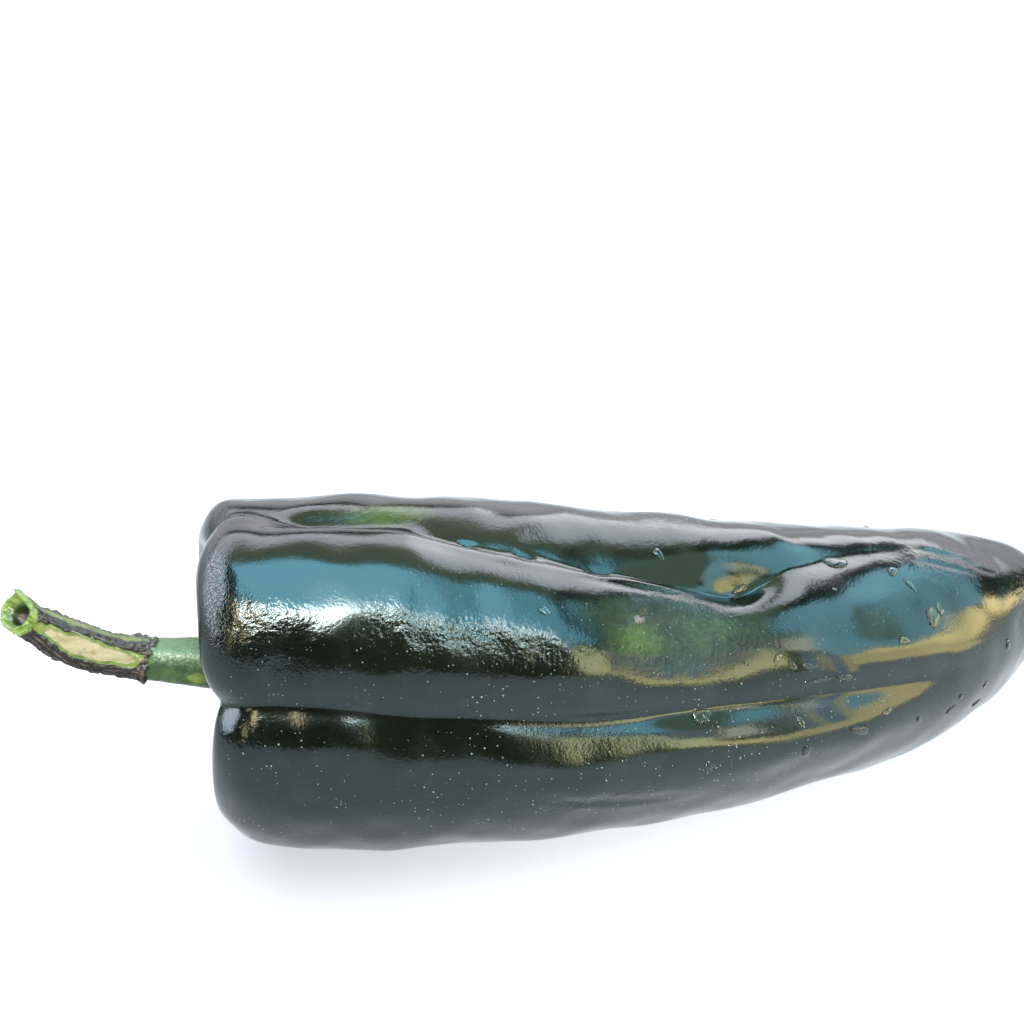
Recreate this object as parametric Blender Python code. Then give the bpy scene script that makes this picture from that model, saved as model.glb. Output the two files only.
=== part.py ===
"""Poblano pepper lying on its side, in metres, +Z up: the pod's tip points to +X, its near side faces -Y.

The pod is one closed body: a flat basin floor, the basin's wall, the rim, and the outside down to the tip.
The stem is a second closed body: a scalloped calyx on the basin's floor, the curved stem and its hollow cut end.
"""
import math

import bmesh
import bpy
import numpy as np

POD_SEGMENTS = (64, 58)     # round the pod, from the basin's floor to the tip
STEM_SEGMENTS = (32, 54)    # round the stem, from the calyx's base to the hollow of the cut end
FRONT_LINE = 0.060          # place along the pod, from its rim, that lies over the origin
STEM_GAP = 0.0003           # between the basin's floor and the calyx

# Outline of the pod: place along its middle line from the rim, radius there.
POD_OUTLINE = [
    (0.0210, 0.0000), (0.0210, 0.0085), (0.0165, 0.0130), (0.0070, 0.0160), (0.0000, 0.0215),
    (0.0035, 0.0265), (0.0140, 0.0292), (0.0350, 0.0295), (0.0600, 0.0282), (0.0850, 0.0249),
    (0.1100, 0.0217), (0.1300, 0.0183), (0.1470, 0.0125), (0.1575, 0.0055), (0.1595, 0.0000),
]
# The middle line: its heading in plan, degrees from +X towards +Y, and its height over the ground.
POD_HEADING = [(0, -6.5), (0.060, -4.0), (0.090, 11.0), (0.120, 22.0), (0.1595, 23.5)]
POD_HEIGHT = [(0, 0.0290), (0.040, 0.0285), (0.090, 0.0245), (0.120, 0.0199), (0.135, 0.0184), (0.1595, 0.0182)]

# Furrows between the lobes: line = (place along the outline from the rim, degrees up from the near side),
# depth = (place, share of the radius), above and below = (place, spread in radians on that side of the line).
NEAR_LINE = [(-0.020, 17), (0.019, 17), (0.034, 13.5), (0.048, 11), (0.060, 8), (0.077, 8), (0.125, 7)]
FURROWS = [
    dict(line=[(-0.010, 106), (0.010, 105), (0.026, 92), (0.038, 87), (0.052, 75), (0.070, 71), (0.089, 63),
               (0.100, 71), (0.120, 76)],
         depth=[(-0.020, 0.10), (0, 0.15), (0.012, 0.10), (0.045, 0.11), (0.070, 0.14), (0.089, 0.16),
                (0.102, 0.09), (0.122, 0.03), (0.140, 0)],
         above=[(0, 0.24), (0.035, 0.26), (0.052, 0.42), (0.074, 0.42), (0.092, 0.24)], below=[(0, 0.24)]),
    dict(line=NEAR_LINE,
         depth=[(-0.020, 0.08), (0, 0.13), (0.045, 0.13), (0.070, 0.15), (0.100, 0.14), (0.118, 0.06), (0.140, 0)],
         above=[(0, 0.26), (0.060, 0.28), (0.090, 0.40)], below=[(0, 0.38), (0.035, 0.32), (0.060, 0.22), (0.090, 0.18)]),
    dict(line=NEAR_LINE,
         depth=[(-0.020, 0.03), (0, 0.04), (0.012, 0.03), (0.045, 0.02), (0.080, 0.01), (0.100, 0)],
         above=[(0, 0.07)], below=[(0, 0.07)]),
    dict(line=[(-0.020, 215), (0.150, 205)],
         depth=[(-0.020, 0.10), (0, 0.16), (0.012, 0.14), (0.080, 0.12), (0.130, 0.04), (0.150, 0)],
         above=[(0, 0.35)], below=[(0, 0.35)]),
    dict(line=[(-0.020, -75), (0.150, -70)],
         depth=[(-0.020, 0.08), (0, 0.10), (0.012, 0.05), (0.060, 0.02), (0.090, 0)],
         above=[(0, 0.30)], below=[(0, 0.30)]),
]
FURROW_FLOOR = 0.05         # rounding of a furrow's bottom, radians
FURROW_REACH = 0.020        # how far a furrow draws the rim back towards the tip

# Fuller or drawn-back parts of the rim: degrees up from the near side, spread, more radius, towards the stem.
SHOULDERS = [
    dict(angle=122, spread=42, fuller=0.0040, forward=0),
    dict(angle=45, spread=35, fuller=0, forward=0.0008),
    dict(angle=-70, spread=45, fuller=-0.0008, forward=-0.0010),
]
# Dents in the outside (a bulge where the depth is negative): place, degrees, length, spread in degrees, depth.
DENTS = [
    dict(place=0.0895, angle=64, length=0.0050, spread=10, depth=0.0018),
    dict(place=0.0780, angle=42, length=0.0110, spread=22, depth=0.0027),
    dict(place=0.0680, angle=-38, length=0.0160, spread=20, depth=0.0010),
    dict(place=0.1060, angle=62, length=0.0150, spread=16, depth=0.0008),
    dict(place=0.1080, angle=18, length=0.0180, spread=14, depth=-0.0014),
    dict(place=0.0950, angle=-8, length=0.0220, spread=14, depth=-0.0016),
]

# Outline of the stem: place along its own middle line from the calyx's base, radius there.
STEM_OUTLINE = [
    (0.0000, 0.0000), (0.0000, 0.0064), (0.0014, 0.0072), (0.0028, 0.0062), (0.0052, 0.0049), (0.0100, 0.0045),
    (0.0190, 0.0042), (0.0290, 0.0035), (0.0360, 0.0032), (0.0415, 0.0035), (0.0470, 0.0031), (0.0500, 0.0027),
    (0.0524, 0.0029), (0.0532, 0.0025), (0.0524, 0.0018), (0.0508, 0.0013), (0.0503, 0.0000),
]
STEM_RISE = [(0, 0), (0.003, 0), (0.010, 14), (0.024, 7), (0.034, 14), (0.044, 32), (0.056, 46)]   # degrees up
STEM_TURN = [(0, 0), (0.030, 0), (0.060, 6)]                                # degrees towards the near side
STEM_RIBS = 5
RIB_HEIGHT = 0.035          # share of the radius
SCALLOP_HEIGHT = 0.08       # share of the calyx's radius
CUT_SLANT = 30              # degrees that the cut leans from square, open towards CUT_FACING
CUT_FACING = 165            # degrees round the stem, from its far side over its top
TORN_LIP = 0.0024           # how far the cut end's lip stands out
LIP_ANGLE = 75


def eased(at, pairs):
    """A smooth curve through a few (place, value) pairs, level beyond its ends."""
    place, value = np.array(pairs, float).T
    if len(place) == 1:
        return value[0] + 0 * at
    slope = np.gradient(value, place)
    slope[0] = slope[-1] = 0
    i = np.clip(np.searchsorted(place, at) - 1, 0, len(place) - 2)
    step = place[i + 1] - place[i]
    s = np.clip((at - place[i]) / step, 0, 1)
    return ((2*s**3 - 3*s**2 + 1) * value[i] + (s**3 - 2*s**2 + s) * step * slope[i]
            + (3*s**2 - 2*s**3) * value[i + 1] + (s**3 - s**2) * step * slope[i + 1])


def outline(points, count=800):
    """A Catmull-Rom curve through the points, read at even steps of its length: length, place, radius."""
    p = np.array(points, float)
    gap = np.linalg.norm(np.diff(p, axis=0), axis=1) ** 0.5
    knot = np.concatenate([[0], np.cumsum(gap)])
    pace = np.diff(p, axis=0) / gap[:, None]
    tangent = np.empty_like(p)
    tangent[0], tangent[-1] = pace[0], pace[-1]
    both = (gap[1:] + gap[:-1])[:, None]
    tangent[1:-1] = (pace[1:] * gap[:-1, None] + pace[:-1] * gap[1:, None]) / both
    u = np.linspace(0, knot[-1], 4 * count)
    i = np.clip(np.searchsorted(knot, u, side="right") - 1, 0, len(gap) - 1)
    s, h = ((u - knot[i]) / gap[i])[:, None], gap[i][:, None]
    curve = ((2*s**3 - 3*s**2 + 1) * p[i] + (s**3 - 2*s**2 + s) * h * tangent[i]
             + (3*s**2 - 2*s**3) * p[i + 1] + (s**3 - s**2) * h * tangent[i + 1])
    length = np.concatenate([[0], np.cumsum(np.linalg.norm(np.diff(curve, axis=0), axis=1))])
    even = np.linspace(0, length[-1], count)
    return even, np.interp(even, length, curve[:, 0]), np.interp(even, length, curve[:, 1])


def bump(off, width):
    return np.exp(-(off / width) ** 2)


def turned(angle, centre):
    """Angle from centre, between -pi and pi."""
    return np.angle(np.exp(1j * (angle - centre)))


pod_length, pod_place, pod_radius = outline(POD_OUTLINE)
rim_length = pod_length[np.argmin(pod_place)]
line_place = np.linspace(0, POD_OUTLINE[-1][0], 400)
line_step = line_place[1] - line_place[0]
line_heading = np.radians(eased(line_place, POD_HEADING))
line_x = np.cumsum(np.cos(line_heading)) * line_step
line_y = np.cumsum(np.sin(line_heading)) * line_step
line_x -= np.interp(FRONT_LINE, line_place, line_x)
line_y -= np.interp(FRONT_LINE, line_place, line_y)


def pod_point(share, angle):
    """Point of the pod: share runs from the basin's floor (0) to the tip (1), angle up from the near side.

    point = line(place) + radius * (cos(angle) * towards the near side + sin(angle) * up), never below ground
    """
    length = share * pod_length[-1]
    along = length - rim_length
    place = np.interp(length, pod_length, pod_place)
    radius = np.interp(length, pod_length, pod_radius)
    furrow = 0
    for f in FURROWS:
        off = turned(angle, np.radians(eased(along, f["line"])))
        spread = np.where(off > 0, eased(along, f["above"]), eased(along, f["below"]))
        furrow += eased(along, f["depth"]) * np.exp((FURROW_FLOOR - np.hypot(off, FURROW_FLOOR)) / spread)
    furrow *= np.clip(radius / 0.012, 0, 1)
    at_rim = bump(along, 0.012)
    radius *= 1 - furrow
    place += FURROW_REACH * furrow * at_rim
    for s in SHOULDERS:
        share_of = bump(turned(angle, math.radians(s["angle"])), math.radians(s["spread"]))
        radius += s["fuller"] * share_of * bump(along - 0.004, 0.010)
        place -= s["forward"] * share_of * at_rim
    for d in DENTS:
        across = bump(turned(angle, math.radians(d["angle"])), math.radians(d["spread"]))
        radius -= d["depth"] * across * bump(along - d["place"], d["length"])
    heading = np.radians(eased(place, POD_HEADING))
    x = np.interp(place, line_place, line_x) + radius * np.cos(angle) * np.sin(heading)
    y = np.interp(place, line_place, line_y) - radius * np.cos(angle) * np.cos(heading)
    z = eased(place, POD_HEIGHT) + radius * np.sin(angle)
    return np.stack([x, y, np.maximum(z, 0)], axis=-1)


stem_length, stem_place, stem_radius = outline(STEM_OUTLINE)
path_place = np.linspace(0, 0.066, 300)
path_rise = np.radians(eased(path_place, STEM_RISE))
path_turn = np.radians(eased(path_place, STEM_TURN))
path_step = path_place[1]
path = np.stack([np.cos(path_rise) * np.cos(path_turn), np.cos(path_rise) * np.sin(path_turn),
                 np.sin(path_rise)], axis=-1)
path = np.concatenate([[[0, 0, 0]], np.cumsum(path[:-1], axis=0) * path_step])


def stem_point(share, angle):
    """Point of the stem in its own frame: the calyx's base at the origin, the stem leaving along +X.

    point = path(place) + radius * (cos(angle) * sideways + sin(angle) * up), square to the path
    """
    length = share * stem_length[-1]
    place = np.interp(length, stem_length, stem_place)
    radius = np.interp(length, stem_length, stem_radius)
    calyx = bump(place - 0.0014, 0.0022) * np.clip((radius - 0.004) / 0.002, 0, 1)
    tube = np.clip((place - 0.005) / 0.004, 0, 1) * np.clip((radius - 0.0022) / 0.0008, 0, 1)
    ribs = np.cos(STEM_RIBS * angle)
    radius *= 1 + SCALLOP_HEIGHT * calyx * ribs + RIB_HEIGHT * tube * ribs
    near_cut = np.clip((place - 0.044) / 0.006, 0, 1)
    lip = bump(turned(angle, math.radians(LIP_ANGLE)), 0.6) * bump(place - 0.0530, 0.0018)
    slant = radius * math.tan(math.radians(CUT_SLANT)) * np.cos(angle - math.radians(CUT_FACING))
    place += TORN_LIP * lip * np.clip((radius - 0.0015) / 0.0008, 0, 1) - near_cut * slant
    rise = np.interp(place, path_place, path_rise)
    turn = np.interp(place, path_place, path_turn)
    middle = np.stack([np.interp(place, path_place, path[:, k]) for k in range(3)], axis=-1)
    side = np.stack([np.sin(turn), -np.cos(turn), 0 * turn], axis=-1)
    up = np.stack([-np.sin(rise) * np.cos(turn), -np.sin(rise) * np.sin(turn), np.cos(rise)], axis=-1)
    return middle + radius[:, None] * (np.cos(angle)[:, None] * side + np.sin(angle)[:, None] * up)


def make_body(name, segments, point, colour, roughness):
    """A sphere of quads whose vertices are moved to point(share from pole to pole, angle round)."""
    bm = bmesh.new()
    bmesh.ops.create_uvsphere(bm, u_segments=segments[0], v_segments=segments[1], radius=1.0)
    ball = np.array([vert.co[:] for vert in bm.verts])
    share = np.arccos(np.clip(ball[:, 2], -1, 1)) / math.pi
    angle = np.arctan2(ball[:, 1], ball[:, 0])
    for vert, place in zip(bm.verts, point(share, angle)):
        vert.co = place
    mesh = bpy.data.meshes.new(name)
    bm.to_mesh(mesh)
    bm.free()
    mesh.shade_smooth()
    material = bpy.data.materials.new(name)
    material.use_nodes = True
    shader = material.node_tree.nodes["Principled BSDF"]
    shader.inputs["Base Color"].default_value = colour
    shader.inputs["Roughness"].default_value = roughness
    shader.inputs["Metallic"].default_value = 0.0
    mesh.materials.append(material)
    body = bpy.data.objects.new(name, mesh)
    collection.objects.link(body)
    return body


for old in list(bpy.data.objects):
    bpy.data.objects.remove(old, do_unlink=True)
collection = bpy.data.collections.new("poblano_pepper")
bpy.context.scene.collection.children.link(collection)

pod = make_body("pod", POD_SEGMENTS, pod_point, (0.020, 0.042, 0.018, 1), 0.2)
stem = make_body("stem", STEM_SEGMENTS, stem_point, (0.16, 0.34, 0.07, 1), 0.4)

# The stem stands on the middle of the basin's floor and leaves it square, away from the tip.
floor_place = POD_OUTLINE[0][0] - STEM_GAP
stem.location = (np.interp(floor_place, line_place, line_x), np.interp(floor_place, line_place, line_y),
                 eased(floor_place, POD_HEIGHT))
stem.rotation_euler = (0, 0, math.pi + np.radians(eased(POD_OUTLINE[0][0], POD_HEADING)))
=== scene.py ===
"""A poblano pepper lying on its side: dark waxy pod, curved cut stem, a few drops of water."""
import math
import bpy
import numpy as np
from mathutils import Matrix, Vector


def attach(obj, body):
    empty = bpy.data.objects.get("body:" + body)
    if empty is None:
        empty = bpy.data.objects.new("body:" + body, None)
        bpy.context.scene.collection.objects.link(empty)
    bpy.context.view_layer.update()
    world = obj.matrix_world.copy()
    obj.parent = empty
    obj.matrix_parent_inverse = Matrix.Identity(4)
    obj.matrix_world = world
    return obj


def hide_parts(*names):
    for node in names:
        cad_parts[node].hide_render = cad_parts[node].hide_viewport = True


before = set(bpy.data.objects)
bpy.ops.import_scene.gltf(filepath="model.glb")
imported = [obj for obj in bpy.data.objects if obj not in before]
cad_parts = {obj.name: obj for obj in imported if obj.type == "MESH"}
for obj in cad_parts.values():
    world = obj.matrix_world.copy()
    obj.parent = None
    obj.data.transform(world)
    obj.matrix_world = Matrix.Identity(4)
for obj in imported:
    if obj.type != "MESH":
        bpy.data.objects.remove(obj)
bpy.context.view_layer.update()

# The pod: one hollow fruit with four lobes, thin-walled, with a waxy dark green skin. It grows as one body,
# from the stem basin over the rounded rim to the blunt tip, so it is made as one closed surface.
# Outline: (place along the middle line, radius), from the basin's floor over the rim to the tip.
POD_OUTLINE = [
    (0.0210, 0.0000), (0.0210, 0.0085), (0.0165, 0.0130), (0.0070, 0.0160), (0.0000, 0.0215),
    (0.0035, 0.0265), (0.0140, 0.0292), (0.0350, 0.0295), (0.0600, 0.0282), (0.0850, 0.0249),
    (0.1100, 0.0217), (0.1300, 0.0183), (0.1470, 0.0125), (0.1575, 0.0055), (0.1595, 0.0000),
]
# The middle line: (place, degrees that it turns from +X), then (place, height). FRONT_LINE is at x = 0.
POD_HEADING = [(0, -6.5), (0.060, -4.0), (0.090, 11.0), (0.120, 22.0), (0.1595, 23.5)]
POD_HEIGHT = [
    (0, 0.0290), (0.040, 0.0285), (0.090, 0.0245), (0.120, 0.0199), (0.135, 0.0184), (0.1595, 0.0182),
]
FRONT_LINE = 0.060
# Furrows between the lobes: line = (place along the outside from the rim, degrees up from the near side),
# depth = (place, share of the radius), above and below = (place, spread in radians on that side).
NEAR_LINE = [(-0.020, 17), (0.019, 17), (0.034, 13.5), (0.048, 11), (0.060, 8), (0.077, 8), (0.125, 7)]
FURROWS = [
    dict(line=[(-0.010, 106), (0.010, 105), (0.026, 92), (0.038, 87), (0.052, 75), (0.070, 71), (0.089, 63),
               (0.100, 71), (0.120, 76)],
         depth=[(-0.020, 0.10), (0, 0.15), (0.012, 0.10), (0.045, 0.11), (0.070, 0.14), (0.089, 0.16),
                (0.102, 0.09), (0.122, 0.03), (0.140, 0)],
         above=[(0, 0.24), (0.035, 0.26), (0.052, 0.42), (0.074, 0.42), (0.092, 0.24)], below=[(0, 0.24)]),
    dict(line=NEAR_LINE,
         depth=[(-0.020, 0.08), (0, 0.13), (0.045, 0.13), (0.070, 0.15), (0.100, 0.14), (0.118, 0.06),
                (0.140, 0)],
         above=[(0, 0.26), (0.060, 0.28), (0.090, 0.40)],
         below=[(0, 0.38), (0.035, 0.32), (0.060, 0.22), (0.090, 0.18)]),
    dict(line=NEAR_LINE,
         depth=[(-0.020, 0.03), (0, 0.03), (0.012, 0.02), (0.045, 0.02), (0.080, 0.01), (0.100, 0)],
         above=[(0, 0.07)], below=[(0, 0.07)]),
    dict(line=[(-0.020, 215), (0.150, 205)],
         depth=[(-0.020, 0.10), (0, 0.16), (0.012, 0.14), (0.080, 0.12), (0.130, 0.04), (0.150, 0)],
         above=[(0, 0.35)], below=[(0, 0.35)]),
    dict(line=[(-0.020, -75), (0.150, -70)],
         depth=[(-0.020, 0.08), (0, 0.10), (0.012, 0.05), (0.060, 0.02), (0.090, 0)],
         above=[(0, 0.30)], below=[(0, 0.30)]),
]
FURROW_FLOOR = 0.05
FURROW_REACH = 0.020
# A furrow fades where the radius is under FURROW_FADE, and changes at the rim reach RIM_REACH along it.
FURROW_FADE = 0.012
RIM_REACH = 0.012
# Shoulders of the lobes at the rim, then broad dents: angle and spread in degrees, the rest in metres.
SHOULDERS = [
    dict(angle=122, spread=42, fuller=0.0040, forward=0),
    dict(angle=45, spread=35, fuller=0, forward=0.0008),
    dict(angle=-70, spread=45, fuller=-0.0008, forward=-0.0010),
]
DENTS = [
    dict(place=0.0895, angle=64, length=0.0050, spread=10, depth=0.0018),
    dict(place=0.0780, angle=42, length=0.0110, spread=22, depth=0.0027),
    dict(place=0.0680, angle=-38, length=0.0160, spread=20, depth=0.0010),
    dict(place=0.1060, angle=62, length=0.0150, spread=16, depth=0.0008),
    dict(place=0.1080, angle=18, length=0.0180, spread=14, depth=-0.0014),
    dict(place=0.0950, angle=-8, length=0.0220, spread=14, depth=-0.0016),
]
# Folds of the skin: line of (place, degrees), width and depth in metres (a ridge if the depth is negative).
FOLDS = [
    ([(0.012, 99), (0.026, 90), (0.038, 84), (0.050, 76), (0.058, 72)], 0.0009, 0.00035),
    ([(0.016, 95), (0.026, 86), (0.040, 79), (0.056, 70), (0.074, 64)], 0.0016, -0.00030),
    ([(0.055, 76), (0.062, 71), (0.074, 68), (0.086, 65)], 0.0008, 0.00040),
    ([(0.062, 64), (0.072, 61), (0.084, 59)], 0.0010, 0.00022),
    ([(0.060, 67), (0.070, 65.5), (0.082, 62)], 0.0009, -0.00022),
    ([(0.0645, 69), (0.0665, 68), (0.0686, 68)], 0.0008, 0.00055),
    ([(0.0530, 75), (0.0550, 73), (0.0575, 72)], 0.0007, 0.00040),
    ([(0.0445, 80), (0.0462, 79), (0.0480, 78)], 0.0007, 0.00035),
    ([(0.0700, 47), (0.0725, 49), (0.0745, 52)], 0.0006, 0.00020),
    ([(0.0540, -18), (0.0640, -23), (0.0780, -27)], 0.0012, 0.00025),
    ([(0.0560, -21), (0.0660, -26), (0.0760, -30)], 0.0008, 0.00022),
    ([(0.1260, 74), (0.1330, 68), (0.1400, 60)], 0.0007, 0.00022),
    ([(0.1280, 69), (0.1350, 62), (0.1430, 52)], 0.0006, 0.00020),
    ([(0.1240, 66), (0.1310, 60), (0.1380, 52)], 0.0006, 0.00018),
]
# Shallow hollows: place, degrees, length in metres, spread in degrees, depth (negative for a swelling).
HOLLOWS = [
    (0.0238, 11, 0.0060, 12, -0.0009), (0.0385, 2, 0.0075, 11, 0.0009), (0.0125, -3, 0.0050, 10, 0.0004),
    (0.0250, 40, 0.0045, 8, -0.0004), (0.0160, 31, 0.0045, 8, 0.0004), (0.0220, 93, 0.0150, 7, 0.0010),
    (0.0480, 30, 0.0060, 7, -0.0002), (0.0560, -12, 0.0080, 10, -0.0004), (0.1090, 12, 0.0100, 9, 0.0003),
]
# Uneven waves of the skin: size, height in metres, seed of their directions.
WAVES = [(0.022, 0.00022, 1), (0.009, 0.00009, 2)]
# Patches of the skin: place along the outside, degrees, length in metres, spread in degrees, strength.
CRINKLED = [
    (0.012, 44, 0.0075, 14, 0.9), (0.021, 38, 0.0040, 9, 0.4), (0.0345, 44, 0.0045, 10, 0.9),
    (0.037, 36, 0.0040, 8, 0.9), (0.044, 40, 0.0080, 7, 0.8), (0.054, 34, 0.0080, 7, 0.7),
    (0.034, -14, 0.0110, 6, 0.9), (0.064, -23, 0.0090, 5, 0.8), (0.133, 62, 0.0100, 12, 0.9),
    (0.009, 6, 0.0060, 8, 0.4), (0.080, 100, 0.0150, 10, 0.5), (0.050, 140, 0.0150, 12, 0.7),
    (0.095, 170, 0.0180, 10, 0.6), (0.030, 190, 0.0100, 14, 0.6), (0.150, 20, 0.0060, 30, 0.6),
]
NETTED = [(0.0058, 64, 0.0017, 24, 1.0), (0.0050, 130, 0.0020, 20, 0.8), (0.0050, 230, 0.0022, 24, 0.8)]
# Lighter green patches: on the far side and at the tip the skin's own lighter green; at the saddle before
# the dent and on the lobe top by the upper furrow a painted green reflection.
GREEN_SKIN_AND_REFLECTION = [
    (0.0345, 97, 0.0065, 6, 1.6), (0.029, 101, 0.0080, 5, 0.6), (0.0705, 39, 0.0055, 8, 1.0),
    (0.081, 41, 0.0110, 13, 0.55), (0.066, 50, 0.0060, 9, 0.45), (0.069, 46, 0.0030, 5, 0.5),
    (0.060, 160, 0.0120, 12, 0.5), (0.100, 200, 0.0150, 12, 0.5), (0.148, 40, 0.0050, 40, 0.25),
]
DULL = [(0.0770, 42, 0.0120, 20, 1.0), (0.1100, 41, 0.0060, 9, 0.40), (0.0310, 98, 0.0090, 7, 0.5)]
SCARRED = [
    (0.0712, 47, 0.0016, 2.8, 1.0), (0.0690, 42, 0.0013, 2.2, 0.7), (0.0674, 38, 0.0012, 2.0, 0.6),
    (0.0730, 44, 0.0020, 2.0, 0.5),
]


def eased(at, pairs):
    """A smooth curve through a few (place, value) pairs, level beyond its ends.

    Between two pairs it is the cubic that meets both values, with the mean slope of the neighbours at each.
    """
    place, value = np.array(pairs, float).T
    if len(place) == 1:
        return value[0] + 0 * at
    slope = np.gradient(value, place)
    slope[0] = slope[-1] = 0
    i = np.clip(np.searchsorted(place, at) - 1, 0, len(place) - 2)
    step = place[i + 1] - place[i]
    s = np.clip((at - place[i]) / step, 0, 1)
    return ((2*s**3 - 3*s**2 + 1) * value[i] + (s**3 - 2*s**2 + s) * step * slope[i]
            + (3*s**2 - 2*s**3) * value[i + 1] + (s**3 - s**2) * step * slope[i + 1])


def outline(points, count=800):
    """A smooth curve through the points, read at even steps of its length: length, place, radius.

    Between two points it is the cubic whose slopes at them come from the pace on both sides, where the pace
    is the step from point to point over the square root of its length.
    """
    p = np.array(points, float)
    gap = np.linalg.norm(np.diff(p, axis=0), axis=1) ** 0.5
    knot = np.concatenate([[0], np.cumsum(gap)])
    pace = np.diff(p, axis=0) / gap[:, None]
    tangent = np.empty_like(p)
    tangent[0], tangent[-1] = pace[0], pace[-1]
    both = (gap[1:] + gap[:-1])[:, None]
    tangent[1:-1] = (pace[1:] * gap[:-1, None] + pace[:-1] * gap[1:, None]) / both
    u = np.linspace(0, knot[-1], 4 * count)
    i = np.clip(np.searchsorted(knot, u, side="right") - 1, 0, len(gap) - 1)
    s, h = ((u - knot[i]) / gap[i])[:, None], gap[i][:, None]
    curve = ((2*s**3 - 3*s**2 + 1) * p[i] + (s**3 - 2*s**2 + s) * h * tangent[i]
             + (3*s**2 - 2*s**3) * p[i + 1] + (s**3 - s**2) * h * tangent[i + 1])
    length = np.concatenate([[0], np.cumsum(np.linalg.norm(np.diff(curve, axis=0), axis=1))])
    even = np.linspace(0, length[-1], count)
    return even, np.interp(even, length, curve[:, 0]), np.interp(even, length, curve[:, 1])


def bump(off, width):
    """A smooth hump: exp(-(off / width) squared)."""
    return np.exp(-(off / width) ** 2)


def turned(angle, centre):
    """Angle from centre, between -pi and pi."""
    return np.angle(np.exp(1j * (angle - centre)))


def waves(point, size, seed, count=20):
    """Uneven waves about size metres long: the mean of sines in seeded directions, from about -1 to 1."""
    chance = np.random.default_rng(seed)
    way = chance.normal(size=(count, 3))
    pace = 2 * math.pi / size * chance.uniform(0.7, 1.4, (count, 1))
    way *= pace / np.linalg.norm(way, axis=1, keepdims=True)
    phase = chance.uniform(0, 2 * math.pi, count)
    return np.sin(point @ way.T + phase).sum(axis=-1) / math.sqrt(count / 2) * 0.7


LINE_POINTS = 400
pod_length, pod_place, pod_radius = outline(POD_OUTLINE)
rim_length = pod_length[np.argmin(pod_place)]
line_place = np.linspace(0, POD_OUTLINE[-1][0], LINE_POINTS)
line_step = line_place[1] - line_place[0]
line_heading = np.radians(eased(line_place, POD_HEADING))
line_x = np.cumsum(np.cos(line_heading)) * line_step
line_y = np.cumsum(np.sin(line_heading)) * line_step
line_x -= np.interp(FRONT_LINE, line_place, line_x)
line_y -= np.interp(FRONT_LINE, line_place, line_y)


def patch(along, angle, patches):
    """How strongly a place lies in the patches: the largest of their humps, along the pod by round it."""
    most = 0 * along
    for place, centre, length, spread, strength in patches:
        across = bump(turned(angle, math.radians(centre)), math.radians(spread))
        most = np.maximum(most, strength * across * bump(along - place, length))
    return most


def fold_depth(along, angle, radius):
    """Depth of the folds: each follows its line as a hump across it, fading out at both of its ends."""
    depth = 0 * along
    for line, width, deepest in FOLDS:
        start, end = line[0][0], line[-1][0]
        fade = 0.3 * (end - start)
        off = turned(angle, np.radians(eased(along, line))) * radius
        taper = np.clip((along - start) / fade, 0, 1) * np.clip((end - along) / fade, 0, 1)
        depth += deepest * bump(off, width) * taper
    return depth


def pod_point(along, angle, skin=True):
    """Point of the pod: along is metres from the rim (below 0 in the basin), angle up from the near side.

    point = middle line(place) + radius * (cos(angle) * towards the near side + sin(angle) * up), never
    under ground; furrows, dents, folds and hollows lessen the radius, and the skin adds waves and crinkles
    """
    length = along + rim_length
    place = np.interp(length, pod_length, pod_place)
    radius = np.interp(length, pod_length, pod_radius)
    furrow = 0
    for f in FURROWS:
        off = turned(angle, np.radians(eased(along, f["line"])))
        spread = np.where(off > 0, eased(along, f["above"]), eased(along, f["below"]))
        across = np.exp((FURROW_FLOOR - np.hypot(off, FURROW_FLOOR)) / spread)
        furrow = furrow + eased(along, f["depth"]) * across
    furrow = furrow * np.clip(radius / FURROW_FADE, 0, 1)
    at_rim = bump(along, RIM_REACH)
    radius = radius * (1 - furrow)
    place = place + FURROW_REACH * furrow * at_rim
    for s in SHOULDERS:
        share_of = bump(turned(angle, math.radians(s["angle"])), math.radians(s["spread"]))
        radius = radius + s["fuller"] * share_of * bump(along - 0.004, 0.010)
        place = place - s["forward"] * share_of * at_rim
    for d in DENTS:
        across = bump(turned(angle, math.radians(d["angle"])), math.radians(d["spread"]))
        radius = radius - d["depth"] * across * bump(along - d["place"], d["length"])
    if skin:
        here = np.stack([along, radius * np.cos(angle), radius * np.sin(angle)], axis=-1)
        fade = np.clip(radius / 0.010, 0, 1)
        radius = radius - fold_depth(along, angle, radius)
        for *spot, depth in HOLLOWS:
            radius = radius - depth * patch(along, angle, [(*spot, 1)])
        radius = radius + fade * sum(high * waves(here, size, seed) for size, high, seed in WAVES)
        crinkle = 0.00007 * waves(here, 0.0045, 3) - 0.00006 * np.abs(waves(here, 0.0026, 4))
        radius = radius + patch(along, angle, CRINKLED) * crinkle
        in_basin = np.clip((-0.004 - along) / 0.008, 0, 1)
        creases = 9 * angle + 2 * waves(here, 0.02, 6)
        radius = radius + in_basin * fade * 0.00025 * np.cos(creases)
        dimple = 0.0014 * bump(np.maximum(pod_length[-1] - length, 0), 0.0028)
        place = place - dimple
    heading = np.radians(eased(place, POD_HEADING))
    x = np.interp(place, line_place, line_x) + radius * np.cos(angle) * np.sin(heading)
    y = np.interp(place, line_place, line_y) - radius * np.cos(angle) * np.cos(heading)
    z = eased(place, POD_HEIGHT) + radius * np.sin(angle)
    return np.stack([x, y, np.maximum(z, 0)], axis=-1)


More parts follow.
